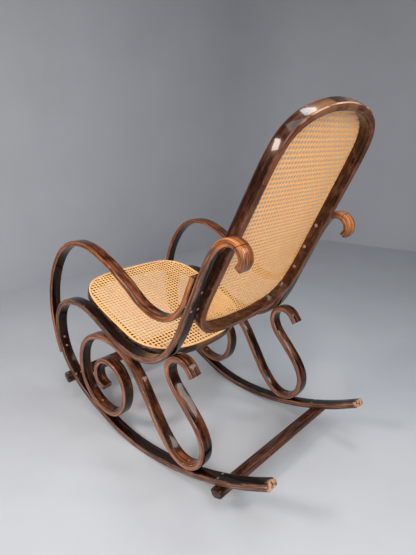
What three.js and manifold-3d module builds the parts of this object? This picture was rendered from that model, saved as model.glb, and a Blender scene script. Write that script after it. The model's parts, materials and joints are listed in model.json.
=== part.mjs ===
// Bentwood rocking chair with a woven cane seat and back.
// Millimetres, +Z up, the sitter faces -Y, the sitter's left hand is at +X.
// The origin is on the floor, under the middle of the chair's bounding box.
//
// Each side frame is three flat bars, each bent in the frame's own plane: a main bow
// (runner, front loop, seat rail, upright and ear), an arm bow and a scroll bow.
// The two side frames stand a little closer together at the back than at the front.

import * as THREE from 'three';
import { mergeVertices } from 'three/addons/utils/BufferGeometryUtils.js';
import Module from 'manifold-3d';

const wasm = await Module();
wasm.setup();

// ---- driving dimensions -------------------------------------------------------------

const GAP = 0.3; // clearance between pieces that touch

const BAR_WIDTH = 38; // every bent bar, measured across the chair
const FRAME_HALF = 275; // chair centre to the outer side of a side frame, at y = 0
const SPLAY = 0.048; // how much each side frame closes in, per mm towards the back

const MAIN = { thickness: 20, step: 19 };
const ARM = { thickness: 16, step: 21 };
const SCROLL = { thickness: 19, step: 16 };

// Centrelines of the bars in the plane of the side frame: [y, z]
const MAIN_LINE = [
  [495, 171], [415, 124], [330, 84], [240, 51.5], [150, 28.5], [60, 14.5], [-30, 10.5], [-120, 20.5],
  [-208, 45.5], [-292, 79], [-368, 125], [-430, 196], [-456.5, 278], [-447, 357], [-413, 406],
  [-360, 434], [-300, 442], [-240, 432], [-170, 402], [-95, 368], [-10, 349], [70, 359], [138, 402],
  [186, 468], [220, 537], [253, 605], [286, 675], [313, 724], [335.5, 749], [362, 759], [387, 750],
  [400, 729], [398, 712], [388, 700],
];
const ARM_LINE = [
  [-456, 203], [-472, 250], [-481, 300], [-487, 350], [-482, 412], [-462, 486], [-420, 563],
  [-362, 622], [-290, 655], [-212, 656], [-120, 625], [-30, 573], [38, 527], [104, 508],
  [164, 520], [209, 562], [235, 616], [252.5, 655],
];
const SCROLL_LINE = [
  [-186, 160], [-211, 168], [-226, 192], [-221, 228], [-192, 261], [-147, 271], [-103, 253],
  [-74, 211], [-73, 159], [-99, 105], [-147, 73], [-208, 70.5], [-264, 96], [-303, 146],
  [-315, 213], [-293, 285], [-236, 337], [-152, 356], [-68, 335.5], [0, 276], [54, 198],
  [108, 119], [162, 71], [205, 63], [246, 83], [272, 124], [275, 168], [256, 211], [204, 270],
  [157, 320], [144, 356], [155, 390], [184, 405], [214, 399], [241, 368],
];

// Seat: a bent ring between the rails with cane on top, high at the front
const SEAT = {
  tilt: THREE.MathUtils.degToRad(20),
  heightAtZeroY: 351, // of the ring's top face, over the floor
  front: -412, // along the slope, from y = 0
  rear: 62,
  widest: -95,
  frontExponent: 4.2, // squarish front corners
  rearExponent: 2.4, // rounder back
  ringWidth: 24,
  ringHeight: 34,
  bindingInset: 2.5, // from the ring's outer edge
  bindingWidth: 9,
  bindingHeight: 4,
  outlinePoints: 64,
};

// Back: a bent ring between the uprights with cane in its front, leaning backwards
const BACK = {
  lean: THREE.MathUtils.degToRad(26.5),
  pivotY: 283, // a point on the plane of the ring's rear edge
  pivotZ: 613,
  depth: 36,
  ringWidth: 20,
  bindingInset: 12, // well inside the ring, so it can't be seen from behind
  bindingWidth: 5,
  bindingHeight: 2.8,
  outlinePoints: 72,
};
// Right half of the ring's outer outline in its own plane: [across, up the slope]
const BACK_LINE = [
  [0, -205], [90, -199], [160, -178], [206, -132], [223, -68], [223.5, 0], [220.5, 70], [216, 130],
  [210.5, 270], [205, 350], [190, 405], [155, 444], [100, 470], [50, 481], [0, 484],
];

const CANE_THICKNESS = 2.5;

// Cross bars under the runners; a bar sticks out a little past both frames
const STRETCHER = { width: 40, height: 24, corner: 7, overhang: 17 };
const STRETCHER_AT = { front: [-380, 140], rear: [338, 88] }; // [y, z] where it crosses the runner
const STRETCHER_SCREWS_NEAR = { front: [-376, 134], rear: [333, 86] };

// Wood screws, their heads let into the wood
const SCREW = { headRadius: 4.5, headHeight: 3, proud: 0.6, shankRadius: 2.2, segments: 6 };
const FRAME_SCREW_LENGTH = 30;
const RING_SCREW_LENGTH = 44;

// Fineness of the computation, not of the chair
const WELD_DISTANCE = 1e-4;
const PATH_DIVISIONS = 4000;
const SEARCH_SAMPLES = 2000;

// ---- materials ----------------------------------------------------------------------

const WOOD_MAIN = 0x3a1e14;
const WOOD_ARM = 0x4a2716;
const WOOD_SCROLL = 0x54301f;
const WOOD_RING = 0x45251a;
const WOOD_STRETCHER = 0x4d2a1b;
const CANE_PANEL = 0xd9a760;
const CANE_BINDING = 0xe2b674;

function lacquer(colour) {
  return new THREE.MeshStandardMaterial({ color: colour, roughness: 0.28, metalness: 0 });
}
function caneMaterial(colour) {
  return new THREE.MeshStandardMaterial({ color: colour, roughness: 0.55, metalness: 0 });
}
function screwMaterial() {
  return new THREE.MeshStandardMaterial({ color: 0x8a7565, roughness: 0.45, metalness: 0.6 });
}

// ---- small helpers ------------------------------------------------------------------

function named(name, geometry, material) {
  const mesh = new THREE.Mesh(geometry, material);
  mesh.name = name;
  return mesh;
}

function sidePath(line) {
  const points = line.map(([y, z]) => new THREE.Vector3(0, y, z));
  const path = new THREE.CatmullRomCurve3(points, false, 'centripetal');
  path.arcLengthDivisions = PATH_DIVISIONS;
  return path;
}

function rectangle(width, height) {
  const shape = new THREE.Shape();
  shape.moveTo(-width / 2, -height / 2);
  shape.lineTo(width / 2, -height / 2);
  shape.lineTo(width / 2, height / 2);
  shape.lineTo(-width / 2, height / 2);
  shape.closePath();
  return shape;
}

function bentBar(path, { thickness, step }) {
  const steps = Math.round(path.getLength() / step);
  const section = rectangle(BAR_WIDTH, thickness);
  return new THREE.ExtrudeGeometry(section, { steps, extrudePath: path, bevelEnabled: false });
}

// The place on a bar's centreline that is nearest to (y, z): its point and its tangent
function nearestOn(path, y, z) {
  const target = new THREE.Vector3(0, y, z);
  let best = 0;
  let bestDistance = Infinity;
  for (let i = 0; i <= SEARCH_SAMPLES; i += 1) {
    const distance = path.getPointAt(i / SEARCH_SAMPLES).distanceTo(target);
    if (distance < bestDistance) {
      bestDistance = distance;
      best = i / SEARCH_SAMPLES;
    }
  }
  return { point: path.getPointAt(best), tangent: path.getTangentAt(best) };
}

// Moves a closed outline of Vector2 sideways: positive is outwards on a left-turning loop
function offsetOutline(points, distance) {
  return points.map((point, i) => {
    const before = points[(i + points.length - 1) % points.length];
    const after = points[(i + 1) % points.length];
    const along = after.clone().sub(before).normalize();
    return new THREE.Vector2(point.x + along.y * distance, point.y - along.x * distance);
  });
}

function ringShape(outline, width) {
  const shape = new THREE.Shape(outline);
  shape.holes.push(new THREE.Path(offsetOutline(outline, -width)));
  return shape;
}

function plate(shape, depth) {
  return new THREE.ExtrudeGeometry(shape, { depth, bevelEnabled: false });
}

// ---- cutting ------------------------------------------------------------------------

function toSolid(geometry) {
  const bare = geometry.clone();
  bare.deleteAttribute('normal');
  bare.deleteAttribute('uv');
  const welded = mergeVertices(bare, WELD_DISTANCE);
  return new wasm.Manifold(new wasm.Mesh({
    numProp: 3,
    vertProperties: new Float32Array(welded.attributes.position.array),
    triVerts: new Uint32Array(welded.index.array),
  }));
}

function toGeometry(solid) {
  const mesh = solid.getMesh();
  const geometry = new THREE.BufferGeometry();
  geometry.setAttribute('position', new THREE.BufferAttribute(mesh.vertProperties, 3));
  geometry.setIndex(new THREE.BufferAttribute(mesh.triVerts, 1));
  geometry.computeVertexNormals();
  return geometry;
}

// A screw stands along +Z with the underside of its head at z = 0 and its tip below
function screwProfile(length, grow) {
  const head = SCREW.headRadius + grow;
  const shank = SCREW.shankRadius + grow;
  const top = SCREW.proud + (grow > 0 ? SCREW.headHeight : 0);
  const under = SCREW.proud - SCREW.headHeight - grow;
  const tip = -length - grow;
  const corners = [[0, tip], [shank, tip], [shank, under], [head, under], [head, top], [0, top]];
  return corners.map(([x, y]) => new THREE.Vector2(x, y));
}

function screwGeometry(length, grow) {
  const geometry = new THREE.LatheGeometry(screwProfile(length, grow), SCREW.segments);
  return geometry.rotateX(Math.PI / 2);
}

const joints = [];

// Drives a screw from a point on a surface, along a direction, through the pieces named
function addScrew(parent, name, point, direction, length, pieces) {
  const screw = named(name, screwGeometry(length, 0), screwMaterial());
  screw.position.copy(point);
  const out = direction.clone().negate();
  screw.quaternion.setFromUnitVectors(new THREE.Vector3(0, 0, 1), out);
  screw.userData.length = length;
  parent.add(screw);
  joints.push({ screw, pieces });
}

function drillAll() {
  const pieces = new Set(joints.flatMap((joint) => joint.pieces));
  for (const piece of pieces) {
    const toPiece = piece.matrixWorld.clone().invert();
    let solid = toSolid(piece.geometry);
    for (const { screw, pieces: held } of joints) {
      if (held.includes(piece)) {
        const cutter = screwGeometry(screw.userData.length, GAP);
        cutter.applyMatrix4(screw.matrixWorld).applyMatrix4(toPiece);
        solid = solid.subtract(toSolid(cutter));
      }
    }
    piece.geometry = toGeometry(solid);
  }
}

// ---- side frames --------------------------------------------------------------------

const mainPath = sidePath(MAIN_LINE);
const armPath = sidePath(ARM_LINE);
const scrollPath = sidePath(SCROLL_LINE);

// Screws of a side frame. Each starts on the broad face of one bar, near [y, z], and goes
// through it, roughly towards `aim`, into the piece that lies against it.
const FRAME_SCREWS = [
  { name: 'arm_front_screw_a', from: 'main', into: 'arm', near: [-449, 228], aim: [-1, 0] },
  { name: 'arm_front_screw_b', from: 'main', into: 'arm', near: [-457, 264], aim: [-1, 0] },
  { name: 'arm_rear_screw_a', from: 'main', into: 'arm', near: [260, 620], aim: [-1, 0.5] },
  { name: 'arm_rear_screw_b', from: 'main', into: 'arm', near: [234, 566], aim: [-1, 0.5], across: -12 },
  { name: 'arm_rear_screw_c', from: 'main', into: 'arm', near: [234, 566], aim: [-1, 0.5], across: 12 },
  { name: 'scroll_front_screw', from: 'scroll', into: 'main', near: [-228, 76], aim: [0, -1] },
  { name: 'scroll_rear_screw', from: 'scroll', into: 'main', near: [211, 63], aim: [0, -1] },
  { name: 'scroll_rail_screw', from: 'scroll', into: 'main', near: [-92, 345], aim: [0, 1] },
  { name: 'scroll_hook_screw', from: 'scroll', into: 'main', near: [157, 391], aim: [-0.6, 1] },
  ...['front', 'rear'].flatMap((end) => [['a', -11], ['b', 11]].map(([letter, across]) => ({
    name: `${end}_stretcher_screw_${letter}`,
    from: 'main',
    into: `${end}_stretcher`,
    near: STRETCHER_SCREWS_NEAR[end],
    aim: [0, -1],
    across,
  }))),
];

const bars = {
  main: { path: mainPath, ...MAIN, colour: WOOD_MAIN },
  arm: { path: armPath, ...ARM, colour: WOOD_ARM },
  scroll: { path: scrollPath, ...SCROLL, colour: WOOD_SCROLL },
};

function frameScrew(frame, side, screw, pieces) {
  const bar = bars[screw.from];
  const { point, tangent } = nearestOn(bar.path, ...screw.near);
  const direction = new THREE.Vector3(0, -tangent.z, tangent.y);
  if (direction.dot(new THREE.Vector3(0, ...screw.aim)) < 0) {
    direction.negate();
  }
  const start = point.addScaledVector(direction, -bar.thickness / 2);
  start.x = screw.across ?? 0;
  addScrew(frame, `${screw.name}_${side}`, start, direction, FRAME_SCREW_LENGTH, [
    pieces[screw.from],
    pieces[screw.into],
  ]);
}

function sideFrame(side, sign, stretchers) {
  const frame = new THREE.Group();
  frame.rotation.z = sign * Math.atan(SPLAY);
  frame.position.x = sign * (FRAME_HALF - BAR_WIDTH / 2);
  const pieces = { ...stretchers };
  for (const [kind, bar] of Object.entries(bars)) {
    pieces[kind] = named(`${kind}_bow_${side}`, bentBar(bar.path, bar), lacquer(bar.colour));
    frame.add(pieces[kind]);
  }
  for (const screw of FRAME_SCREWS) {
    frameScrew(frame, side, screw, pieces);
  }
  return { frame, pieces };
}

// ---- cane panels --------------------------------------------------------------------

// A flat woven panel and the raised binding that runs round its edge
function canePanel(name, outline, { bindingInset, bindingWidth, bindingHeight }) {
  const bindingOutline = offsetOutline(outline, -bindingInset);
  const caneOutline = offsetOutline(bindingOutline, -bindingWidth - GAP);
  return {
    cane: named(
      `${name}_cane`,
      plate(new THREE.Shape(caneOutline), CANE_THICKNESS),
      caneMaterial(CANE_PANEL),
    ),
    binding: named(
      `${name}_binding`,
      plate(ringShape(bindingOutline, bindingWidth), bindingHeight),
      caneMaterial(CANE_BINDING),
    ),
  };
}

// ---- seat ---------------------------------------------------------------------------

// Half the clear width between the side frames at y
function insideHalf(y) {
  return FRAME_HALF - BAR_WIDTH - SPLAY * y - 2 * GAP;
}

function power(value, exponent) {
  return Math.sign(value) * Math.abs(value) ** (2 / exponent);
}

// The seat's outline in its own plane: a superellipse that fits between the side frames
function seatOutline() {
  const outline = [];
  for (let i = 0; i < SEAT.outlinePoints; i += 1) {
    const angle = (2 * Math.PI * i) / SEAT.outlinePoints;
    const across = Math.cos(angle);
    const along = Math.sin(angle);
    const exponent = along < 0 ? SEAT.frontExponent : SEAT.rearExponent;
    const reach = along < 0 ? SEAT.widest - SEAT.front : SEAT.rear - SEAT.widest;
    const slope = SEAT.widest + reach * power(along, exponent);
    const half = insideHalf(slope * Math.cos(SEAT.tilt));
    outline.push(new THREE.Vector2(half * power(across, exponent), slope));
  }
  return outline;
}

function seatAssembly() {
  const group = new THREE.Group();
  group.rotation.x = -SEAT.tilt;
  group.position.z = SEAT.heightAtZeroY;
  const outline = seatOutline();
  const ring = plate(ringShape(outline, SEAT.ringWidth), SEAT.ringHeight);
  const frame = named('seat_frame', ring, lacquer(WOOD_RING));
  frame.position.z = -SEAT.ringHeight;
  const { cane, binding } = canePanel('seat', outline, SEAT);
  cane.position.z = GAP;
  binding.position.z = GAP;
  group.add(frame, cane, binding);
  return { group, frame, outline };
}

// ---- back ---------------------------------------------------------------------------

function backOutline() {
  const half = BACK_LINE.map(([x, y]) => new THREE.Vector3(x, y, 0));
  const other = BACK_LINE.slice(1, -1).reverse().map(([x, y]) => new THREE.Vector3(-x, y, 0));
  const loop = new THREE.CatmullRomCurve3([...half, ...other], true, 'centripetal');
  const spaced = loop.getSpacedPoints(BACK.outlinePoints).slice(0, -1);
  return spaced.map((point) => new THREE.Vector2(point.x, point.y));
}

// The group's x is across the chair, its y runs up the slope and its z points forwards
function backAssembly() {
  const group = new THREE.Group();
  group.rotation.x = Math.PI / 2 - BACK.lean;
  group.position.set(0, BACK.pivotY, BACK.pivotZ);
  const outline = backOutline();
  const ring = plate(ringShape(outline, BACK.ringWidth), BACK.depth);
  const frame = named('back_frame', ring, lacquer(WOOD_RING));
  const { cane, binding } = canePanel('back', outline, BACK);
  cane.position.z = BACK.depth + GAP;
  binding.position.z = BACK.depth + GAP;
  group.add(frame, cane, binding);
  return { group, frame, outline };
}

// ---- stretchers ---------------------------------------------------------------------

// A flat-topped bar with its lower corners cut away, lying flat under both runners
function stretcher(end) {
  const { width, height, corner, overhang } = STRETCHER;
  const { point, tangent } = nearestOn(mainPath, ...STRETCHER_AT[end]);
  const tilt = Math.atan(tangent.z / tangent.y);
  const length = 2 * (FRAME_HALF - SPLAY * point.y + overhang);
  const shape = new THREE.Shape([
    new THREE.Vector2(-width / 2, 0),
    new THREE.Vector2(-width / 2, corner - height),
    new THREE.Vector2(corner - width / 2, -height),
    new THREE.Vector2(width / 2 - corner, -height),
    new THREE.Vector2(width / 2, corner - height),
    new THREE.Vector2(width / 2, 0),
  ]);
  const geometry = plate(shape, length);
  geometry.translate(0, 0, -length / 2);
  geometry.applyMatrix4(new THREE.Matrix4().makeBasis(
    new THREE.Vector3(0, 1, 0),
    new THREE.Vector3(0, 0, 1),
    new THREE.Vector3(1, 0, 0),
  ));
  const mesh = named(`${end}_stretcher`, geometry, lacquer(WOOD_STRETCHER));
  // the splay turns the runner's underside a little against the straight bar
  const relief = (BAR_WIDTH / 2) * SPLAY * Math.abs(Math.sin(tilt));
  const drop = MAIN.thickness / 2 + GAP + relief;
  mesh.rotation.x = tilt;
  mesh.position.set(0, point.y + drop * Math.sin(tilt), point.z - drop * Math.cos(tilt));
  return mesh;
}

// ---- screws of the rings ------------------------------------------------------------

// Half the width of a closed outline at a height in its own plane
function halfWidthAt(outline, height) {
  let half = 0;
  outline.forEach((point, i) => {
    const next = outline[(i + 1) % outline.length];
    if ((point.y - height) * (next.y - height) <= 0 && point.y !== next.y) {
      const part = (height - point.y) / (next.y - point.y);
      half = Math.max(half, point.x + (next.x - point.x) * part);
    }
  });
  return half;
}

const BACK_SCREW_HEIGHTS = [570, 642, 712];
const SEAT_SCREWS = [
  { letter: 'a', near: [-235, 430] },
  { letter: 'b', near: [-95, 368] },
];

// Sideways screws from a ring's inner face into the side frame's main bow
function ringScrews(parent, ring, mainBows) {
  for (const [side, sign] of [['left', 1], ['right', -1]]) {
    for (const { letter, near } of ring.screws) {
      const { point } = nearestOn(mainPath, ...near);
      const height = ring.heightInPlane(point);
      const inner = halfWidthAt(ring.outline, height) - ring.width;
      const start = new THREE.Vector3(sign * inner, point.y, point.z);
      const outwards = new THREE.Vector3(sign, 0, 0);
      const name = `${ring.name}_screw_${letter}_${side}`;
      addScrew(parent, name, start, outwards, RING_SCREW_LENGTH, [ring.frame, mainBows[side]]);
    }
  }
}

// ---- assembly -----------------------------------------------------------------------

const chair = new THREE.Group();
const stretchers = {
  front_stretcher: stretcher('front'),
  rear_stretcher: stretcher('rear'),
};
const left = sideFrame('left', 1, stretchers);
const right = sideFrame('right', -1, stretchers);
const mainBows = { left: left.pieces.main, right: right.pieces.main };
const seat = seatAssembly();
const back = backAssembly();
chair.add(left.frame, right.frame, seat.group, back.group, ...Object.values(stretchers));

ringScrews(chair, {
  name: 'seat',
  frame: seat.frame,
  outline: seat.outline,
  width: SEAT.ringWidth,
  heightInPlane: (point) => point.y / Math.cos(SEAT.tilt),
  screws: SEAT_SCREWS,
}, mainBows);
ringScrews(chair, {
  name: 'back',
  frame: back.frame,
  outline: back.outline,
  width: BACK.ringWidth,
  heightInPlane: (point) => (point.z - BACK.pivotZ) / Math.cos(BACK.lean),
  screws: BACK_SCREW_HEIGHTS.map((z, i) => ({
    letter: 'abc'[i],
    near: [BACK.pivotY + (z - BACK.pivotZ) * Math.tan(BACK.lean), z],
  })),
}, mainBows);

chair.updateMatrixWorld(true);
drillAll();

// Rest the runners on the floor and centre the bounding box over the origin
const bounds = new THREE.Box3().setFromObject(chair, true);
const middle = bounds.getCenter(new THREE.Vector3());
chair.position.set(-middle.x, -middle.y, -bounds.min.z);

export default chair;
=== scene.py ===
"""Bentwood rocking chair: the looks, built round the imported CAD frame.

Metres, +Z up, the sitter faces -Y. Every bent bar is rebuilt from its CAD node as a smooth bar
with rounded edges, the seat and back get a woven cane, and each screw gets a slotted head.
"""
import json
import math
from typing import Callable, NamedTuple

import bpy
import numpy as np
from mathutils import Euler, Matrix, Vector


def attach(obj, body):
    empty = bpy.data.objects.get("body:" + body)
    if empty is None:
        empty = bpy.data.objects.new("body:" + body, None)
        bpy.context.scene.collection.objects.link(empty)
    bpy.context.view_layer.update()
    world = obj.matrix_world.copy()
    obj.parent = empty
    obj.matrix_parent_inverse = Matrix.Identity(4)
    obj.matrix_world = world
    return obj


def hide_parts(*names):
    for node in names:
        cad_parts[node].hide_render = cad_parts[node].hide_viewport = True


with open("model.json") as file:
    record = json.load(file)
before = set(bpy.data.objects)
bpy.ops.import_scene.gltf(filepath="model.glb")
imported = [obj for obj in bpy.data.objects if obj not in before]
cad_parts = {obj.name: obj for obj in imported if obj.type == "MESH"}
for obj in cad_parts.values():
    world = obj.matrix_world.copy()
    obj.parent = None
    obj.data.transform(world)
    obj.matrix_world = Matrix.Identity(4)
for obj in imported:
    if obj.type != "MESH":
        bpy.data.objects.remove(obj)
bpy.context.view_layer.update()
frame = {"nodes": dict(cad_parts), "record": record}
record = frame["record"]

# ---- dimensions that only the looks need -------------------------------------------------

SIDES = {"left": 1, "right": -1}  # the sign of X
SPLAY = math.atan(0.048)  # each side frame closes in towards the back by this angle
FLATNESS = 5e-5  # points this near to a node's outermost level lie on its flat side
CURVE_SAMPLES = 24  # from one point of a smooth curve to the next, before it is spaced evenly

BAR_STEP = 0.006  # between the sections of a bent bar
BAR_EDGE = 0.0044  # radius of the long edges
TIP_EDGE = 0.0022  # radius round a bar's end
TIP_SECTIONS = 4  # in the rounding of an end
EDGE_FULL = 0.3  # of an edge's rounding each way, past which it counts as fully an edge
TOP_WEAR = 1.4  # how soon wear sets in where a face turns upwards
EAR_SLOPE = 1.2
EAR_START, EAR_BLEND = 1.11, 0.04  # of z + EAR_SLOPE * y, where the wear of the ears begins
EAR_JOINTS = [(2.285, 0.4, 0.0)]  # along the main bow from its tail: (place, slant, shade beyond)
RAW_TIP = 0.013  # of raw wood at the main bow's tail

RING_STEP = 0.007
RING_BLEND = 0.004  # height over which the colour of a ring's rim turns into its flat faces'
SLIMMEST_RING = 0.003  # every CAD ring is wider than this
# edge radii: outer top, inner top, inner bottom and outer bottom
SEAT_EDGES = (0.007, 0.002, 0.005, 0.009)
BACK_EDGES = (0.0085, 0.003, 0.004, 0.0045)
SPLINE_EDGES = (0.0014, 0.0014, 0.0003, 0.0003)
SPLINE_WIDTH = 0.0065  # of the visible rattan spline round the seat
SPLINE_TONE = 0.75  # on the strands' scale, from 0 to 1

# along the back ring, from the start of its outline
BACK_JOINTS = [(0.905, 1.3, 0.4), (0.335, -1.1, 0.4)]  # scarf joints: (place, slant, shade beyond)
BACK_BARE = [(0.705, 0.05), (0.60, 0.03)]  # (place, half length) of the worn patches
# the back ring's rear edge, with a painted highlight along the arris, pale and broken like chips to the
# wood: place, half length, and the section's half sizes
BACK_EDGE_HIGHLIGHT = (0.58, 0.21, 0.010, 0.018)
EDGE_LINE_REACH = 0.0028  # from the corner of the ring's section
SEAT_BARE = [(0.42, 0.08)]  # as BACK_BARE, along the seat ring

CANE_PITCH = 0.0127  # from one hole of the weave to the next
PAIR_WIDTH, DIAGONAL_WIDTH = 0.0021, 0.0016
PAIR_OFFSET = 0.00108  # half the distance between the two strands of a pair
STRAND_HEIGHT = 0.0009
# a strand's section, as shares of its half width and half height
STRAND_SECTION = ((0.62, 1), (-0.62, 1), (-1, -0.4), (-0.7, -1), (0.7, -1), (1, -0.4))
WEAVE_RISE = 0.00042  # how far a strand rises and falls as it is woven
DIAGONAL_RISE = 2.3 * WEAVE_RISE
WEAVE_MARGIN = 0.0025  # how far the seat's weave goes beyond its CAD outline, under the spline
SHORTEST_STRAND = 0.004  # shorter ones are left out
STRAND_TUCK = 0.0005  # how far a strand's ends reach past the outline
LAST_BEND = 0.001  # the nearest that a strand is bent to its end
FIBRE_JITTER, FIBRE_SHIFT = 0.0004, 5  # the most that the fibres move, across and along

STRETCHER_STEP = 0.02
STRETCHER_TOP_EDGE, STRETCHER_LOW_EDGE = 0.003, 0.008
STRETCHER_TIP = 0.0025  # length over which an end is rounded
TIP_SHRINK = 0.15  # share of the section that the rounding takes off
STRETCHER_TONE = 0.4  # between broad and narrow faces, and between flat faces and rubbed edges
END_DARKNESS, END_SHADE = 1.6, 0.022  # at a stretcher's very ends, falling by 1 over this length

SCREW_SIDES = 24
HEAD_SIZE, BACK_HEAD_SIZE = 0.97, 1.2  # shares of the CAD head's radius
BACK_HEAD_RAISE = 0.0006
# the head's outline: (share of its radius, depth below the top)
HEAD_OUTLINE = ((1.0, 0.0012), (1.0, 0.0008), (0.9, 0.00045), (0.6, 0.0001))
HEAD_DEPTH = 0.0036  # from the top down to the shank
HEAD_SPOT = 0.0004  # radius of the flat spot on top
SHANK_SIZE = 0.9  # share of the CAD shank's radius
TIP_OUTLINE = ((0.8, 0.003), (1.0, 0.006))  # (share of the shank's radius, height over the tip)
TIP_RADIUS = 0.0005
SLOT_HALF_WIDTH, SLOT_DEPTH = 0.0007, 0.0009
SLOTTED_HEIGHT = 0.0006  # the slot takes in what is this near to the top
SLOT_TURN = (0.31, 0.77, 0.55)  # the slots are square to this


# ---- meshes ------------------------------------------------------------------------------

def make_piece(name, vertices, faces, material, *, node, fields):
    """A mesh object that rides on the chair for a CAD node. fields are named values, one per vertex."""
    mesh = bpy.data.meshes.new(name)
    mesh.from_pydata([tuple(v) for v in vertices], [], faces)
    mesh.polygons.foreach_set("use_smooth", np.ones(len(mesh.polygons), bool))
    for field, values in fields.items():
        values = np.asarray(values, np.float32)
        kind, key = ("FLOAT_VECTOR", "vector") if values.ndim == 2 else ("FLOAT", "value")
        mesh.attributes.new(field, kind, "POINT").data.foreach_set(key, values.ravel())
    mesh.update()
    mesh.materials.append(material)
    piece = bpy.data.objects.new(name, mesh)
    bpy.context.scene.collection.objects.link(piece)
    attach(piece, "root")
    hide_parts(node)


def node_points(name):
    """The vertices of a CAD node."""
    mesh = frame["nodes"][name].data
    points = np.empty(len(mesh.vertices) * 3, np.float32)
    mesh.vertices.foreach_get("co", points)
    return points.reshape(-1, 3).astype(float)


def catmull_rom(points, step, closed=False):
    """Points about `step` apart on a smooth curve through the given points."""
    p = np.asarray(points, float)
    if closed:
        p = np.vstack([p[-1], p, p[0], p[1]])
    else:
        p = np.vstack([2 * p[0] - p[1], p, 2 * p[-1] - p[-2]])
    gaps = np.linalg.norm(np.diff(p, axis=0), axis=1) ** 0.5
    times = np.concatenate([[0], np.cumsum(gaps)])
    fine = []
    for i in range(1, len(p) - 2):
        t = np.linspace(times[i], times[i + 1], CURVE_SAMPLES, endpoint=False)[:, None]
        t0, t1, t2, t3 = times[i - 1 : i + 3]
        a1 = (t1 - t) / (t1 - t0) * p[i - 1] + (t - t0) / (t1 - t0) * p[i]
        a2 = (t2 - t) / (t2 - t1) * p[i] + (t - t1) / (t2 - t1) * p[i + 1]
        a3 = (t3 - t) / (t3 - t2) * p[i + 1] + (t - t2) / (t3 - t2) * p[i + 2]
        b1 = (t2 - t) / (t2 - t0) * a1 + (t - t0) / (t2 - t0) * a2
        b2 = (t3 - t) / (t3 - t1) * a2 + (t - t1) / (t3 - t1) * a3
        fine.append((t2 - t) / (t2 - t1) * b1 + (t - t1) / (t2 - t1) * b2)
    fine.append(p[-2][None, :])
    fine = np.vstack(fine)
    along = np.concatenate([[0], np.cumsum(np.linalg.norm(np.diff(fine, axis=0), axis=1))])
    count = max(2, round(along[-1] / step))
    wanted = np.linspace(0, along[-1], count + 1)
    even = np.stack([np.interp(wanted, along, fine[:, k]) for k in range(p.shape[1])], axis=1)
    return (even[:-1], wanted[:-1]) if closed else (even, wanted)


def rounded_polygon(corners, radii, per_corner=5):
    """A polygon with an arc at each corner, as points that go round once."""
    out = []
    count = len(corners)
    for i, corner in enumerate(corners):
        corner = np.asarray(corner, float)
        before = np.asarray(corners[i - 1], float) - corner
        after = np.asarray(corners[(i + 1) % count], float) - corner
        before /= np.linalg.norm(before)
        after /= np.linalg.norm(after)
        half = math.acos(np.clip(before @ after, -1, 1)) / 2
        reach = radii[i] / math.tan(half)
        start, end = corner + before * reach, corner + after * reach
        inwards = (before + after) / np.linalg.norm(before + after)
        centre = corner + inwards * radii[i] / math.sin(half)
        for t in np.linspace(0, 1, per_corner):
            blend = start * (1 - t) + end * t - centre
            out.append(centre + blend / np.linalg.norm(blend) * radii[i])
    return np.array(out)


def rounded_box(half_width, half_height, radii):
    """A rectangle's rounded section, from its upper right corner anticlockwise."""
    a, b = half_width, half_height
    return rounded_polygon([(a, b), (-a, b), (-a, -b), (a, -b)], radii)


def sweep(centres, across, upwards, sections, closed):
    """Sections placed along a path. Returns vertices and faces, with flat ends if open."""
    rings = [c + np.outer(s[:, 0], a) + np.outer(s[:, 1], u)
             for c, a, u, s in zip(centres, across, upwards, sections)]
    return np.vstack(rings), tube_faces(len(rings), len(rings[0]), closed)


def tube_faces(rings, n, closed=False):
    """Faces between rings of n vertices, one after the other, with flat ends if open."""
    faces = []
    for i in range(rings if closed else rings - 1):
        base, following = i * n, ((i + 1) % rings) * n
        faces += [(base + j, base + (j + 1) % n, following + (j + 1) % n, following + j)
                  for j in range(n)]
    if not closed:
        last = (rings - 1) * n
        faces += [tuple(range(n - 1, -1, -1)), tuple(range(last, last + n))]
    return faces


# ---- reading the bent bars back from their CAD nodes ---------------------------------------

def outer_side(name, normal):
    """The triangles of a node that lie on its outermost flat side, as (points, triangles)."""
    mesh = frame["nodes"][name].data
    points = node_points(name)
    keys = [tuple(k) for k in np.round(points, 5)]  # vertices at one place count as one
    place = {}
    index = [place.setdefault(k, len(place)) for k in keys]
    unique = np.array(list(place))
    height = points @ normal
    on_side = height > height.max() - FLATNESS
    triangles = [[index[v] for v in face.vertices] for face in mesh.polygons
                 if all(on_side[v] for v in face.vertices)]
    return unique, triangles


def boundary_loop(triangles):
    """The outline of a patch of triangles, as vertex numbers in order."""
    sides = [pair for face in triangles for pair in zip(face, face[1:] + face[:1])]
    inside = set(sides)
    edges = {a: b for a, b in sides if (b, a) not in inside}
    start = next(iter(edges))
    loop = [start]
    while edges[loop[-1]] != start:
        loop.append(edges[loop[-1]])
    return loop


def bar_centreline(name, normal):
    """Centres of the CAD bar's sections, its width and its thickness."""
    points, triangles = outer_side(name, normal)
    loop = points[boundary_loop(triangles)]
    half = len(loop) // 2

    def thickness_spread(shift):
        """How much the bar's thickness varies if its end is at this place of the loop."""
        turned = np.roll(loop, shift, 0)
        return np.ptp(np.linalg.norm(turned[:half] - turned[::-1][:half], axis=1))

    spread = [thickness_spread(shift) for shift in range(len(loop))]
    loop = np.roll(loop, int(np.argmin(spread)), 0)
    one, other = loop[:half], loop[::-1][:half]
    width = np.ptp(node_points(name) @ normal)
    centres = (one + other) / 2 - normal * width / 2
    return centres, width, float(np.median(np.linalg.norm(one - other, axis=1)))


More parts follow.
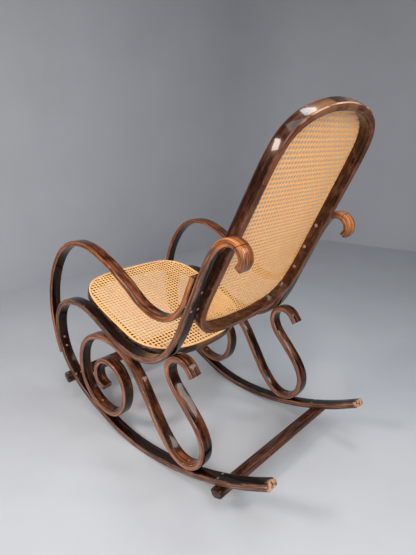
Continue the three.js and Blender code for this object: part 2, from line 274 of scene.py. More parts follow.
def end_rounding(along):
    """Places of a bar's sections, and how far each is drawn in so that the ends are rounded."""
    turn = np.linspace(0, math.pi / 2, TIP_SECTIONS)
    inset = TIP_EDGE * (1 - np.sin(turn))
    shift = TIP_EDGE * (1 - np.cos(turn))
    keep = (along > TIP_EDGE * 1.5) & (along < along[-1] - TIP_EDGE * 1.5)
    places = np.concatenate([shift, along[keep], along[-1] - shift[::-1]])
    return places, np.concatenate([inset, np.zeros(keep.sum()), inset[::-1]])


def bent_bar(kind, side, material, normal):
    """A side frame's bar: smooth, with rounded edges and ends, along its CAD node."""
    node = f"{kind}_bow_{side}"
    centres, width, thickness = bar_centreline(node, normal)
    if kind == "main" and centres[0][2] > centres[-1][2]:
        centres = centres[::-1]  # the main bow is measured from its tail
    path, along = catmull_rom(centres, BAR_STEP)
    tangents = np.gradient(path, axis=0)
    tangents /= np.linalg.norm(tangents, axis=1)[:, None]
    upwards = np.cross(tangents, normal)
    places, insets = end_rounding(along)

    def at(values):
        return np.stack([np.interp(places, along, values[:, k]) for k in range(3)], axis=1)

    sections = [rounded_box(width / 2 - inset, thickness / 2 - inset, [BAR_EDGE - inset * 0.5] * 4)
                for inset in insets]
    across = np.repeat(normal[None, :], len(places), 0)
    vertices, faces = sweep(at(path), across, at(upwards), sections, closed=False)
    flat = np.vstack(sections)
    n = len(sections[0])
    fields = {
        "grain": np.stack([np.repeat(places, n), flat[:, 0], flat[:, 1]], axis=1),
        "narrow": np.clip((np.abs(flat[:, 0]) - width / 2 + BAR_EDGE) / BAR_EDGE, 0, 1),
        "edge": edge_field(flat, width, thickness, BAR_EDGE),
        "worn": worn_field(kind, vertices, np.repeat(at(upwards), n, 0), flat),
    }
    make_piece(f"{kind}_bar_{side}", vertices, faces, material, node=node, fields=fields)


def worn_field(kind, vertices, upwards, flat):
    """1 where hands have worn the lacquer: the ears of the main bows, the tops of the others."""
    if kind == "main":
        return np.clip((vertices[:, 2] + EAR_SLOPE * vertices[:, 1] - EAR_START) / EAR_BLEND, 0, 1)
    facing_up = upwards[:, 2] * np.sign(flat[:, 1])
    return np.clip(facing_up * TOP_WEAR, 0, 1)


def edge_field(flat, width, height, radius):
    """1 in the middle of a rounded long edge, 0 on the flat faces."""
    over_x = np.clip((np.abs(flat[:, 0]) - width / 2 + radius) / radius, 0, 1)
    over_y = np.clip((np.abs(flat[:, 1]) - height / 2 + radius) / radius, 0, 1)
    return np.clip(np.minimum(over_x, over_y) / EDGE_FULL, 0, 1)


# ---- materials ----------------------------------------------------------------------------

class Nodes:
    """Short calls for building a material's node tree."""

    def __init__(self, name):
        self.material = bpy.data.materials.new(name)
        self.material.use_nodes = True
        self.tree = self.material.node_tree
        self.shader = self.tree.nodes["Principled BSDF"]

    def add(self, kind, inputs=None, **settings):
        node = self.tree.nodes.new(kind)
        for key, value in settings.items():
            setattr(node, key, value)
        for key, value in (inputs or {}).items():
            self.plug(value, node.inputs[key])
        return node

    def plug(self, value, socket):
        if isinstance(value, bpy.types.NodeSocket):
            self.tree.links.new(value, socket)
        else:
            socket.default_value = value

    def field(self, name, vector=False):
        node = self.add("ShaderNodeAttribute", attribute_name=name)
        return node.outputs["Vector" if vector else "Fac"]

    def math(self, operation, a, b=0.0, clamp=False):
        node = self.add("ShaderNodeMath", {0: a, 1: b}, operation=operation, use_clamp=clamp)
        return node.outputs[0]

    def plus(self, a, b, clamp=False):
        return self.math("ADD", a, b, clamp)

    def minus(self, a, b, clamp=False):
        return self.math("SUBTRACT", a, b, clamp)

    def times(self, a, b, clamp=False):
        return self.math("MULTIPLY", a, b, clamp)

    def noise(self, vector, scale=1.0, detail=3.0, roughness=0.55, stretch=(1, 1, 1), offset=(0, 0, 0)):
        mapping = self.add("ShaderNodeMapping", {"Vector": vector, "Scale": stretch, "Location": offset})
        node = self.add("ShaderNodeTexNoise", {
            "Vector": mapping.outputs[0], "Scale": scale, "Detail": detail, "Roughness": roughness})
        return node.outputs["Fac"]

    def ramp(self, value, stops):
        """Colours or grey levels between (position, colour) stops."""
        node = self.add("ShaderNodeValToRGB", {"Fac": value})
        elements = node.color_ramp.elements
        while len(elements) < len(stops):
            elements.new(0.5)
        for element, (position, colour) in zip(elements, stops):
            element.position = position
            element.color = (*colour, 1) if isinstance(colour, tuple) else (colour, colour, colour, 1)
        return node.outputs["Color"]

    def mix(self, amount, a, b):
        node = self.add("ShaderNodeMix", data_type="RGBA")
        for value, socket in ((amount, node.inputs[0]), (a, node.inputs[6]), (b, node.inputs[7])):
            self.plug((*value, 1) if isinstance(value, tuple) and len(value) == 3 else value, socket)
        return node.outputs[2]

    def set(self, **values):
        for key, value in values.items():
            self.plug(value, self.shader.inputs[key.replace("_", " ")])

    def bump(self, height, strength, distance, normal=None):
        inputs = {"Height": height, "Strength": strength, "Distance": distance}
        if normal is not None:
            inputs["Normal"] = normal
        return self.add("ShaderNodeBump", inputs).outputs[0]


# patterns of the wood: how tightly they repeat along and across the bar, and how fine they are
FIBRES = {"stretch": (16, 520, 520), "detail": 6.0, "roughness": 0.66}
BANDS = {"stretch": (4.5, 150, 150), "detail": 3.0, "roughness": 0.5}
PATCHES = {"stretch": (13, 30, 30), "detail": 4.0, "roughness": 0.6}
RUBS = {"stretch": (28, 70, 70), "detail": 4.0, "roughness": 0.65}
CHIPS = {"stretch": (80, 200, 200), "detail": 2.0, "roughness": 0.5}
# and of the cane
CANE_FIBRES = {"stretch": (40, 2600, 2600), "detail": 4.0, "roughness": 0.6}
CANE_BLOTCHES = {"stretch": (22, 60, 60), "detail": 3.0, "roughness": 0.5}

WORN_THROUGH = (0.26, 0.125, 0.055)
RUBBED_EDGE = (0.27, 0.125, 0.065)
CHIPPED_SPOT = (0.52, 0.33, 0.19)
# painted highlight on the back ring's outer rear edge, broken like pale chips to the wood
EDGE_HIGHLIGHT_AND_CHIPS = (0.60, 0.40, 0.28)
JOINT_GAP = (0.004, 0.002, 0.002)
END_GRAIN_DARK, END_GRAIN_LIGHT = (0.05, 0.022, 0.012), (0.55, 0.32, 0.20)
# painted shade: the strands' darker raw sides beside the holes, darkened further for the shade inside the
# holes
HOLE_EDGE_SHADE = (0.25, 0.09, 0.024)  # of the cane strands, beside the holes
TARNISH, BARE_METAL = (0.26, 0.14, 0.10), (0.66, 0.46, 0.37)

JOINT_HALF_WIDTH, JOINT_REACH = 0.0009, 0.05  # of the dark line, and of the shade beyond it


class Lacquer(Nodes):
    """Dark glossy lacquer over bent beech, built up in layers. The field "grain" holds the place
    along a bar and in its section, so every pattern follows the bend."""

    def __init__(self, name, broad, narrow, worn, seed):
        super().__init__(name)
        self.grain = self.field("grain", vector=True)
        self.along, self.across, self.through = self.add("ShaderNodeSeparateXYZ", {0: self.grain}).outputs
        self.edge = self.field("edge")
        self.offset = (seed * 3.7, seed * 1.3, seed * 2.1)
        self.fibres, self.bands, self.patches, self.rubs = (
            self.pattern(kind) for kind in (FIBRES, BANDS, PATCHES, RUBS))
        tone = self.plus(self.times(self.fibres, 0.52), self.times(self.bands, 0.32))
        tone = self.plus(tone, self.times(self.patches, 0.16))

        def shades(colours):
            return self.ramp(tone, list(zip((0.41, 0.5, 0.61), colours)))

        self.colour = self.mix(self.field("narrow"), shades(broad), shades(narrow))
        thin = self.ramp(self.patches, [(0.41, 0.08), (0.58, 1.0)])
        self.cover(self.times(self.field("worn"), thin), shades(worn))
        self.rough = self.plus(0.15, self.times(self.patches, 0.14))

    def pattern(self, kind):
        return self.noise(self.grain, offset=self.offset, **kind)

    def cover(self, amount, colour):
        self.colour = self.mix(amount, self.colour, colour)

    def distance_from(self, place):
        return self.math("ABSOLUTE", self.minus(self.along, place))

    def wear_through(self, place, reach):
        """A ragged patch of thin lacquer, strongest on the long edges."""
        near = self.minus(1.0, self.math("DIVIDE", self.distance_from(place), reach), clamp=True)
        ragged = self.plus(near, self.minus(self.patches, 0.62))
        patch = self.ramp(ragged, [(0.05, 0.0), (0.3, 0.6)])
        self.cover(self.times(patch, self.plus(self.edge, 0.35, clamp=True)), WORN_THROUGH)

    def rub_edges(self, strength):
        """Long edges, rubbed lighter in places."""
        rubbed = self.times(self.edge, self.ramp(self.rubs, [(0.47, 0.0), (0.66, 1.0)]))
        rubbed = self.times(rubbed, strength, clamp=True)
        self.cover(rubbed, RUBBED_EDGE)
        self.rough = self.plus(self.rough, self.times(rubbed, 0.2))

    def chip_edges(self, rarity):
        """Small chips down to the wood. The nearer rarity is to 1, the fewer they are."""
        chips = self.ramp(self.pattern(CHIPS), [(rarity, 0.0), (rarity + 0.03, 1.0)])
        self.cover(self.times(self.times(chips, self.edge), 0.9), CHIPPED_SPOT)

    def edge_highlight_with_chips(self, place, reach, half_width, half_height):
        """A broken pale line on the outer rear edge of a ring: a painted highlight along the arris,
        broken like chips to the wood.
        """
        away = self.math("DIVIDE", self.distance_from(place), reach)
        along = self.ramp(away, [(0.8, 1.0), (1.0, 0.0)])
        outer = self.math("GREATER_THAN", self.across, half_width - EDGE_LINE_REACH)
        rear = self.math("LESS_THAN", self.through, EDGE_LINE_REACH - half_height)
        broken = self.times(along, self.ramp(self.rubs, [(0.44, 0.05), (0.53, 0.8)]))
        self.cover(self.times(self.times(outer, rear), broken), EDGE_HIGHLIGHT_AND_CHIPS)

    def join(self, place, slant, shade, darkest):
        """A scarf joint: a thin dark line across the bar, and a darker stretch beyond it."""
        off = self.plus(self.minus(self.along, place), self.times(self.through, slant))
        line = self.math("LESS_THAN", self.math("ABSOLUTE", off), JOINT_HALF_WIDTH)
        past, near = self.math("GREATER_THAN", off, 0.0), self.math("LESS_THAN", off, JOINT_REACH)
        beyond = self.times(past, near)
        self.cover(self.times(beyond, shade), darkest)
        self.cover(self.times(line, 0.9), JOINT_GAP)

    def bare_tip(self, length):
        """Raw end grain with a ragged border where the bar starts."""
        ragged = self.plus(self.along, self.times(self.minus(self.patches, 0.5), 0.05))
        ragged = self.plus(ragged, self.times(self.minus(self.rubs, 0.5), 0.05))
        raw = self.ramp(self.math("DIVIDE", ragged, length), [(0.3, 1.0), (0.7, 0.0)])
        raw = self.times(raw, self.ramp(self.rubs, [(0.40, 0.15), (0.50, 1.0)]))
        self.cover(raw, self.ramp(self.bands, [(0.40, END_GRAIN_DARK), (0.55, END_GRAIN_LIGHT)]))
        self.rough = self.plus(self.rough, self.times(raw, 0.4), clamp=True)

    def finish(self):
        normal = self.bump(self.fibres, 0.14, 0.0004)
        normal = self.bump(self.patches, 0.16, 0.0009, normal)
        self.set(Base_Color=self.colour, Roughness=self.rough, Normal=normal)
        self.set(Specular_IOR_Level=0.12, Coat_Weight=0.34, Coat_Roughness=0.05)
        return self.material


def lacquered_wood(name, broad, narrow, worn, *, seed, rub=0.5, chip=0.7, raw_tip=None,
                   joints=(), bare=(), highlight_edge=None):
    """broad, narrow and worn are (dark, middle, light) colours of the broad faces, of the narrow
    faces and of the places where a hand has worn the lacquer."""
    wood = Lacquer(name, broad, narrow, worn, seed)
    for patch in bare:
        wood.wear_through(*patch)
    wood.rub_edges(rub)
    wood.chip_edges(chip)
    # painted highlight along a ring's rear edge, broken like chips
    if highlight_edge:
        wood.edge_highlight_with_chips(*highlight_edge)
    for joint in joints:
        wood.join(*joint, darkest=broad[0])
    if raw_tip:
        wood.bare_tip(raw_tip)
    return wood.finish()


def cane_material(name, light, dark, *, seed):
    """Split rattan: long pale fibres, a waxy surface and a different tone on each strand."""
    m = Nodes(name)
    grain = m.field("grain", vector=True)
    offset = (seed * 2.3, seed * 5.1, seed)
    fibres = m.noise(grain, offset=offset, **CANE_FIBRES)
    blotches = m.noise(grain, offset=offset, **CANE_BLOTCHES)
    tone = m.plus(m.times(fibres, 0.45), m.times(blotches, 0.3))
    tone = m.plus(tone, m.times(m.field("strand"), 0.25))
    colour = m.ramp(tone, [(0.3, dark), (0.68, light)])
    # painted shade: the strand sides that border holes are darkened, partly their raw colour and partly
    # the shade in the holes
    colour = m.mix(m.times(m.field("rim"), 0.65), colour, HOLE_EDGE_SHADE)
    m.set(Base_Color=colour, Roughness=m.plus(0.36, m.times(blotches, 0.3)))
    m.set(Normal=m.bump(fibres, 0.3, 0.0003), Specular_IOR_Level=0.4)
    return m.material


def metal_material(name):
    """Dull brownish metal with tarnish."""
    m = Nodes(name)
    place = m.add("ShaderNodeTexCoord").outputs["Object"]
    tarnish = m.noise(place, 260.0, 4.0, 0.6)
    colour = m.ramp(tarnish, [(0.35, TARNISH), (0.7, BARE_METAL)])
    m.set(Base_Color=colour, Metallic=0.5, Roughness=m.plus(0.28, m.times(tarnish, 0.35)))
    m.set(Normal=m.bump(tarnish, 0.2, 0.0002))
    return m.material


def painted(name, colour, roughness):
    """Plain paint, slightly mottled."""
    m = Nodes(name)
    place = m.add("ShaderNodeTexCoord").outputs["Object"]
    mottle = m.noise(place, 1.6, 4.0, 0.6)
    darker = tuple(c * 0.93 for c in colour)
    m.set(Base_Color=m.ramp(mottle, [(0.35, darker), (0.65, colour)]), Roughness=roughness)
    return m.material


# (dark, middle, light) of each kind of face
NEAR_BLACK = ((0.0020, 0.0008, 0.0006), (0.0065, 0.0025, 0.0017), (0.042, 0.0135, 0.0065))
DEEP_BROWN = ((0.008, 0.0027, 0.0013), (0.024, 0.0075, 0.0035), (0.075, 0.0230, 0.0098))
RED_BROWN = ((0.014, 0.0040, 0.0016), (0.080, 0.0225, 0.0088), (0.290, 0.0980, 0.0410))
RING_BROWN = ((0.034, 0.0088, 0.0030), (0.122, 0.0325, 0.0115), (0.270, 0.0880, 0.0340))
ASH_BROWN = ((0.026, 0.0105, 0.0068), (0.100, 0.0470, 0.0300), (0.360, 0.168, 0.104))
WARM_ASH = ((0.055, 0.0210, 0.0130), (0.240, 0.1020, 0.0640), (0.480, 0.230, 0.145))
ORANGE_BROWN = ((0.050, 0.0135, 0.0046), (0.250, 0.0790, 0.0300), (0.560, 0.215, 0.092))
AMBER = ((0.024, 0.0066, 0.0022), (0.270, 0.0820, 0.0250), (0.760, 0.300, 0.105))

# ---- side frames ---------------------------------------------------------------------------

wood = {
    "main": lacquered_wood("wood_main", NEAR_BLACK, ASH_BROWN, AMBER, seed=1, raw_tip=RAW_TIP,
                           joints=EAR_JOINTS),
    "arm": lacquered_wood("wood_arm", NEAR_BLACK, ORANGE_BROWN, RED_BROWN, seed=2),
    "scroll": lacquered_wood("wood_scroll", NEAR_BLACK, WARM_ASH, RED_BROWN, seed=3),
}
for side, sign in SIDES.items():
    outwards = np.array([sign * math.cos(SPLAY), math.sin(SPLAY), 0.0])
    for kind, material in wood.items():
        bent_bar(kind, side, material, outwards)

# ---- seat and back -------------------------------------------------------------------------

class Plane:
    """The plane of a woven panel: `across` is +X, `along` runs up or down the slope."""

    def __init__(self, mount):
        self.normal = np.array(next(m["axis"] for m in record["mounts"] if m["name"] == mount))
        self.across = np.array([1.0, 0.0, 0.0])
        self.along = np.cross(self.normal, self.across)

    def flat(self, points):
        return np.stack([points @ self.across, points @ self.along, points @ self.normal], axis=1)

    def world(self, flat):
        return flat[:, :1] * self.across + flat[:, 1:2] * self.along + flat[:, 2:] * self.normal


def hull(points):
    """Convex outline of flat points, anticlockwise."""
    points = sorted({(round(x, 6), round(y, 6)) for x, y in points})

    def half(sequence):
        line = []
        for p in sequence:
            while len(line) > 1 and ((line[-1][0] - line[-2][0]) * (p[1] - line[-2][1])
                                     - (line[-1][1] - line[-2][1]) * (p[0] - line[-2][0])) <= 0:
                line.pop()
            line.append(p)
        return line[:-1]

    return np.array(half(points) + half(points[::-1]))


def panel_outline(node, plane):
    """A node's convex outline in the plane, and its lowest and highest places along the normal."""
    flat = plane.flat(node_points(node))
    low, high = flat[:, 2].min(), flat[:, 2].max()
    return hull(flat[:, :2]), low, high


def ring_width(node, plane, outline):
    """How wide a ring is, from the gap between its outline and its inner edge."""
    flat = plane.flat(node_points(node))
    top = flat[flat[:, 2] > flat[:, 2].max() - FLATNESS][:, :2]
    gaps = np.min(np.linalg.norm(top[:, None, :] - outline[None, :, :], axis=2), axis=1)
    return float(gaps[gaps > SLIMMEST_RING].min())


def left_normals(path):
    """Normals on the left of a closed path: outwards if it is clockwise, inwards if not."""
    tangent = np.roll(path, -1, 0) - np.roll(path, 1, 0)
    tangent /= np.linalg.norm(tangent, axis=1)[:, None]
    return np.stack([-tangent[:, 1], tangent[:, 0]], axis=1)


def flat_ring(node, piece_name, plane, radii, material, width=None):
    """A ring of rounded section that follows a CAD ring. radii: outer top, inner top, inner
    bottom and outer bottom edge."""
    outline, low, high = panel_outline(node, plane)
    width = width or ring_width(node, plane, outline)
    path, along = catmull_rom(outline[::-1], RING_STEP, closed=True)
    outwards = left_normals(path)
    middle = path - outwards * width / 2
    half_height = (high - low) / 2
    section = rounded_box(width / 2, half_height, radii)
    heights = np.full((len(path), 1), (low + high) / 2)
    centres = plane.world(np.hstack([middle, heights]))
    across = outwards[:, :1] * plane.across + outwards[:, 1:] * plane.along
    upwards = np.repeat(plane.normal[None, :], len(path), 0)
    vertices, faces = sweep(centres, across, upwards, [section] * len(path), closed=True)
    flat = np.tile(section, (len(path), 1))
    fields = {
        "grain": np.stack([np.repeat(along, len(section)), flat[:, 0], flat[:, 1]], axis=1),
        "narrow": np.clip((np.abs(flat[:, 1]) - half_height + RING_BLEND) / RING_BLEND, 0, 1),
        "edge": edge_field(flat, width, high - low, max(radii)),
        "worn": np.zeros(len(flat)),
        "strand": np.full(len(flat), SPLINE_TONE),
        "rim": np.zeros(len(flat)),
    }
    make_piece(piece_name, vertices, faces, material, node=node, fields=fields)


def crossings(outline, origin, direction):
    """Where a line enters and leaves a convex outline, as distances along the line."""
    a, b = outline, np.roll(outline, -1, 0)
    side = np.array([-direction[1], direction[0]])
    da, db = (a - origin) @ side, (b - origin) @ side
    hit = (da * db) < 0
    if hit.sum() < 2:
        return None
    part = (da[hit] / (da[hit] - db[hit]))[:, None]
    where = ((a[hit] + (b[hit] - a[hit]) * part) - origin) @ direction
    return where.min(), where.max()


class Strand(NamedTuple):
    """One strand of the weave, as a line in the panel's plane."""

    origin: np.ndarray
    direction: np.ndarray
    width: float
    bend: float  # distance from each highest place to the next lowest
    lift: Callable  # its height at a distance from the origin
    hole_left: bool  # whether its left edge borders a hole
    hole_right: bool


def pair_lift(index, sign):
    """The height of a pair that goes over and under the pairs it crosses, in turn."""
    return lambda t: sign * WEAVE_RISE * np.cos(math.pi * (t / CANE_PITCH + index))


def diagonal_lift(sign):
    """The height of a diagonal. Those of one sign pass over where the others pass under."""
    return lambda t: sign * DIAGONAL_RISE * np.cos(2 * math.pi * t * math.sqrt(0.5) / CANE_PITCH)


def strands(outline):
    """Every strand that could cross the outline: pairs up and across, then the diagonals."""
    low, high = outline.min(0), outline.max(0)
    middle = (low + high) / 2
    reach = int(max(high - low) / CANE_PITCH) + 2
    for i in range(-reach, reach + 1):
        for offset in (-PAIR_OFFSET, PAIR_OFFSET):
            place = i * CANE_PITCH + offset
            yield Strand(middle + [place, 0], np.array([0.0, 1.0]), PAIR_WIDTH, CANE_PITCH,
                         pair_lift(i, 1), offset < 0, offset > 0)
            yield Strand(middle + [0, place], np.array([1.0, 0.0]), PAIR_WIDTH, CANE_PITCH,
                         pair_lift(i, -1), offset > 0, offset < 0)
    for k in range(-2 * reach, 2 * reach + 1):
        for sign in (1, -1):
            direction = np.array([math.sqrt(0.5), sign * math.sqrt(0.5)])
            yield Strand(middle + [0, (k + 0.5) * CANE_PITCH], direction, DIAGONAL_WIDTH,
                         CANE_PITCH * math.sqrt(0.5), diagonal_lift(sign), True, True)


def weave(node, piece_name, plane, material, seed, margin=0.0):
    """The woven panel, strand by strand: pairs each way and a diagonal through each corner."""
    rng = np.random.default_rng(seed)
    outline, low, high = panel_outline(node, plane)
    outline = outline - left_normals(outline) * margin  # wider, as the hull is anticlockwise
    vertices, faces, grain, tones, shaded_sides = [], [], [], [], []
    n = len(STRAND_SECTION)
    count = 0
    for strand in strands(outline):
        span = crossings(outline, strand.origin, strand.direction)
        if span is None or span[1] - span[0] < SHORTEST_STRAND:
            continue
        first = math.ceil((span[0] + LAST_BEND) / strand.bend)
        last = math.floor((span[1] - LAST_BEND) / strand.bend)
        bends = np.arange(first, last + 1) * strand.bend
        t = np.concatenate([[span[0] - STRAND_TUCK], bends, [span[1] + STRAND_TUCK]])
        m = len(t)
        line = strand.origin + t[:, None] * strand.direction
        sideways = np.array([strand.direction[1], -strand.direction[0]])
        heights = (low + high) / 2 + strand.lift(t)
        jitter = rng.random(n) * FIBRE_JITTER
        shift = rng.random() * FIBRE_SHIFT
        tone = rng.random()
        for (wide, high_share), blur in zip(STRAND_SECTION, jitter):
            x, z = strand.width / 2 * wide, STRAND_HEIGHT / 2 * high_share
            vertices.append(np.hstack([line + sideways * x, (heights + z)[:, None]]))
            grain.append(np.stack([t + shift, np.full(m, x + blur), np.full(m, z)], axis=1))
        for j in range(n):
            a, b = count + j * m, count + ((j + 1) % n) * m
            faces += [(a + i, b + i, b + i + 1, a + i + 1) for i in range(m - 1)]
        faces.append(tuple(count + j * m for j in range(n - 1, -1, -1)))
        faces.append(tuple(count + j * m + m - 1 for j in range(n)))
        tones.append(np.full(n * m, tone))
        # the sides that border a hole, where the painted shade goes
        shaded_sides.append(np.repeat([0, 0, strand.hole_left, 0, 0, strand.hole_right], m))
        count += n * m
    fields = {"grain": np.vstack(grain), "strand": np.concatenate(tones), "rim": np.concatenate(shaded_sides)}
    make_piece(piece_name, plane.world(np.vstack(vertices)), faces, material, node=node,
               fields=fields)


seat_plane, back_plane = Plane("seat_surface"), Plane("back_surface")
seat_wood = lacquered_wood("wood_seat_ring", NEAR_BLACK, DEEP_BROWN, RED_BROWN, seed=4, rub=0.5,
                           chip=0.74, bare=SEAT_BARE)
# the back ring has a painted highlight, broken like chips, along its outer rear edge
back_wood = lacquered_wood("wood_back_ring", DEEP_BROWN, RING_BROWN, ORANGE_BROWN, seed=5, rub=0.3,
                           chip=0.76, joints=BACK_JOINTS, bare=BACK_BARE, highlight_edge=BACK_EDGE_HIGHLIGHT)
seat_cane = cane_material("cane_seat", (1.0, 0.68, 0.315), (0.92, 0.47, 0.175), seed=1)
back_cane = cane_material("cane_back", (1.0, 0.645, 0.275), (1.0, 0.485, 0.165), seed=2)
binding = cane_material("cane_binding", (0.95, 0.60, 0.28), (0.72, 0.39, 0.15), seed=3)

flat_ring("seat_frame", "seat_ring", seat_plane, SEAT_EDGES, seat_wood)
flat_ring("back_frame", "back_ring", back_plane, BACK_EDGES, back_wood)
flat_ring("seat_binding", "seat_spline", seat_plane, SPLINE_EDGES, binding, SPLINE_WIDTH)
flat_ring("back_binding", "back_spline", back_plane, SPLINE_EDGES, binding)
weave("seat_cane", "seat_weave", seat_plane, seat_cane, seed=11, margin=WEAVE_MARGIN)
weave("back_cane", "back_weave", back_plane, back_cane, seed=12)

# ---- stretchers ----------------------------------------------------------------------------

stretcher_wood = lacquered_wood("wood_stretcher", DEEP_BROWN, RED_BROWN, NEAR_BLACK, seed=6, rub=0.4)


def stretcher(node):
    """A straight bar with two sharper edges on top, and rounded ends."""
    points = node_points(node)
    start, end = points[:, 0].min(), points[:, 0].max()
    outline = hull(points[points[:, 0] < start + FLATNESS][:, 1:])
    centre = outline.mean(0)
    top = np.argsort(outline[:, 1])[-2:]
    radii = [STRETCHER_TOP_EDGE if i in top else STRETCHER_LOW_EDGE for i in range(len(outline))]
    section = rounded_polygon(outline - centre, radii, per_corner=4)
    turn = np.linspace(0, math.pi / 2, TIP_SECTIONS)
    tip = STRETCHER_TIP * (1 - np.cos(turn))
    drawn_in = 1 - TIP_SHRINK + TIP_SHRINK * np.sin(turn)
    between = np.arange(start + STRETCHER_STEP, end - STRETCHER_STEP / 2, STRETCHER_STEP)
    places = np.concatenate([start + tip, between, end - tip[::-1]])
    sizes = np.concatenate([drawn_in, np.ones(len(between)), drawn_in[::-1]])
    centres = np.stack([places, *(np.full(len(places), c) for c in centre)], axis=1)
    across = np.repeat([[0.0, 1.0, 0.0]], len(places), 0)
    upwards = np.repeat([[0.0, 0.0, 1.0]], len(places), 0)
    sections = [section * size for size in sizes]
    vertices, faces = sweep(centres, across, upwards, sections, closed=False)
    flat = np.vstack(sections)
    s = np.repeat(places, len(section))
    from_end = np.minimum(s - start, end - s)
    fields = {
        "grain": np.stack([s, flat[:, 0], flat[:, 1]], axis=1),
        "narrow": np.full(len(s), STRETCHER_TONE),
        "edge": np.full(len(s), STRETCHER_TONE),
        "worn": np.clip(END_DARKNESS - from_end / END_SHADE, 0, 1),
    }
    make_piece(f"{node}_bar", vertices, faces, stretcher_wood, node=node,
               fields=fields)


for end in ("front", "rear"):
    stretcher(f"{end}_stretcher")

# ---- screws --------------------------------------------------------------------------------

screw_metal = metal_material("screw_metal")


def screw_axis(points):
    """A CAD screw's axis towards its head, with each point's place along it and distance from it."""
    centre = points.mean(0)
    axis = np.linalg.svd(points - centre)[2][0]
    along = (points - centre) @ axis
    radius = np.linalg.norm(points - centre - np.outer(along, axis), axis=1)
    if along[np.argmax(radius)] < 0:
        axis, along = -axis, -along
    return centre, axis, along, radius


def screw(node):
    """A slotted screw: shank, countersunk edge, domed head with its slot."""
    centre, axis, along, radius = screw_axis(node_points(node))
    in_back = node.startswith("back")
    head = radius.max() * (BACK_HEAD_SIZE if in_back else HEAD_SIZE)
    shank = radius[along < np.median(along)].max() * SHANK_SIZE
    top, tip = along.max() + (BACK_HEAD_RAISE if in_back else 0.0), along.min()
    profile = [(TIP_RADIUS, tip),
               *((shank * share, tip + height) for share, height in TIP_OUTLINE),
               (shank, top - HEAD_DEPTH),
               *((head * share, top - depth) for share, depth in HEAD_OUTLINE),
               (HEAD_SPOT, top)]
    side = np.cross(axis, SLOT_TURN)
    side /= np.linalg.norm(side)
    up = np.cross(axis, side)
    turns = np.arange(SCREW_SIDES) / SCREW_SIDES * 2 * math.pi
    rings = []
    for r, z in profile:
        ring = centre + axis * z + r * (np.outer(np.cos(turns), side) + np.outer(np.sin(turns), up))
        in_slot = (np.abs(r * np.sin(turns)) < SLOT_HALF_WIDTH) & (z > top - SLOTTED_HEIGHT)
        ring[in_slot] -= axis * SLOT_DEPTH
        rings.append(ring)
    make_piece(f"{node}_head", np.vstack(rings), tube_faces(len(rings), SCREW_SIDES), screw_metal,
               node=node, fields={})


for node in sorted(frame["nodes"]):
    if "screw" in node:
        screw(node)

# ---- floor, backdrop, light and camera --------------------------------------------------------

FLOOR_CORNERS = [(-5, -4, 0), (5, -4, 0), (5, 5, 0), (-5, 5, 0)]
WALL_TOP = 4.0
WALL_CORNER = np.array((-2.79, -1.67))
# directions of the walls from their corner, on the left and right of the picture
LEFT_WALL, RIGHT_WALL = np.array((0.996, -0.092)), np.array((-0.152, 0.988))
LEFT_WALL_LENGTH, RIGHT_WALL_LENGTH = 6.0, 4.0
CORNER_BEND = 0.75  # from the corner to where its rounding starts

CAMERA_PLACE = (0.9144, 0.9516, 0.9698)
AZIMUTH, ELEVATION, ROLL = (math.radians(angle) for angle in (134.71, 18.19, -0.39))
SENSOR_WIDTH, LENS = 36, 27.05  # mm


def stage_sheet(name, vertices, faces, material, smooth=False):
    """A sheet of the backdrop, which is no piece of the chair."""
    mesh = bpy.data.meshes.new(name)
    mesh.from_pydata(vertices, [], faces)
    mesh.polygons.foreach_set("use_smooth", np.full(len(faces), smooth))
    mesh.materials.append(material)
    sheet = bpy.data.objects.new(name, mesh)
    bpy.context.scene.collection.objects.link(sheet)


def wall(name, line, material):
    """An upright sheet along a line of floor points."""
    n = len(line)
    vertices = [(x, y, z) for z in (0, WALL_TOP) for x, y in line]
    faces = [(i, i + 1, n + i + 1, n + i) for i in range(n - 1)]
    stage_sheet(name, vertices, faces, material, smooth=True)


floor_paint = painted("floor_paint", (0.545, 0.58, 0.625), 0.4)
wall_paint = painted("wall_paint", (0.43, 0.45, 0.49), 0.7)

stage_sheet("floor", FLOOR_CORNERS, [(0, 1, 2, 3)], floor_paint)
# two walls behind the chair with a rounded corner between them
turn = np.linspace(0, 1, 13)[:, None]
bend = WALL_CORNER + CORNER_BEND * ((1 - turn) ** 2 * LEFT_WALL + turn ** 2 * RIGHT_WALL)
wall("wall", [WALL_CORNER + LEFT_WALL_LENGTH * LEFT_WALL, *bend,
              WALL_CORNER + RIGHT_WALL_LENGTH * RIGHT_WALL], wall_paint)


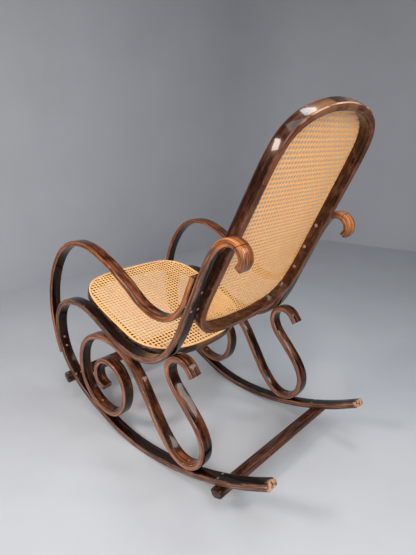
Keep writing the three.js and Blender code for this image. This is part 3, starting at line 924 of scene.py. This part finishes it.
def soft_light(name, place, target, *, size, power, colour, spread=180):
    """A rectangular lamp that the camera doesn't see. Power is in watts, spread in degrees."""
    light = bpy.data.lights.new(name, "AREA")
    light.shape = "RECTANGLE"
    light.size, light.size_y = size
    light.energy = power
    light.color = colour
    light.spread = math.radians(spread)
    lamp = bpy.data.objects.new(name, light)
    lamp.location = place
    lamp.rotation_euler = (Vector(target) - Vector(place)).to_track_quat("-Z", "Y").to_euler()
    lamp.visible_camera = False
    bpy.context.scene.collection.objects.link(lamp)


soft_light("ceiling", (-0.25, 0.4, 2.3), (-0.1, 0.3, 0.3), size=(0.42, 0.42), power=8.5,
           colour=(0.96, 0.98, 1.0))
soft_light("over", (0.75, 0.9, 2.3), (0.3, 0.4, 0.3), size=(1.3, 1.3), power=20,
           colour=(0.97, 0.985, 1.0))
soft_light("left", (1.86, -0.32, 1.78), (0, 0, 0.7), size=(0.42, 0.52), power=26,
           colour=(1.0, 0.84, 0.74))
soft_light("right", (-1.5, 1.65, 1.9), (0, 0, 0.4), size=(0.6, 0.7), power=1.5,
           colour=(1.0, 0.93, 0.88), spread=60)
soft_light("bounce", (1.6, 2.0, 1.3), (0, 0, 0.5), size=(1.7, 1.2), power=26,
           colour=(1.0, 0.975, 0.94), spread=120)

world = bpy.data.worlds.new("studio")
world.use_nodes = True
background = world.node_tree.nodes["Background"]
background.inputs["Color"].default_value = (0.80, 0.84, 0.90, 1)
background.inputs["Strength"].default_value = 0.15
bpy.context.scene.world = world
bpy.context.scene.view_settings.view_transform = "Standard"

camera = bpy.data.objects.new("camera", bpy.data.cameras.new("camera"))
bpy.context.scene.collection.objects.link(camera)
camera.data.sensor_width = SENSOR_WIDTH
camera.data.lens = LENS
camera.location = CAMERA_PLACE
backwards = Vector((math.sin(AZIMUTH) * math.cos(ELEVATION), -math.cos(AZIMUTH) * math.cos(ELEVATION),
                    math.sin(ELEVATION)))
camera.rotation_mode = "QUATERNION"
camera.rotation_quaternion = backwards.to_track_quat("Z", "Y") @ Euler((0, 0, ROLL)).to_quaternion()
bpy.context.scene.camera = camera
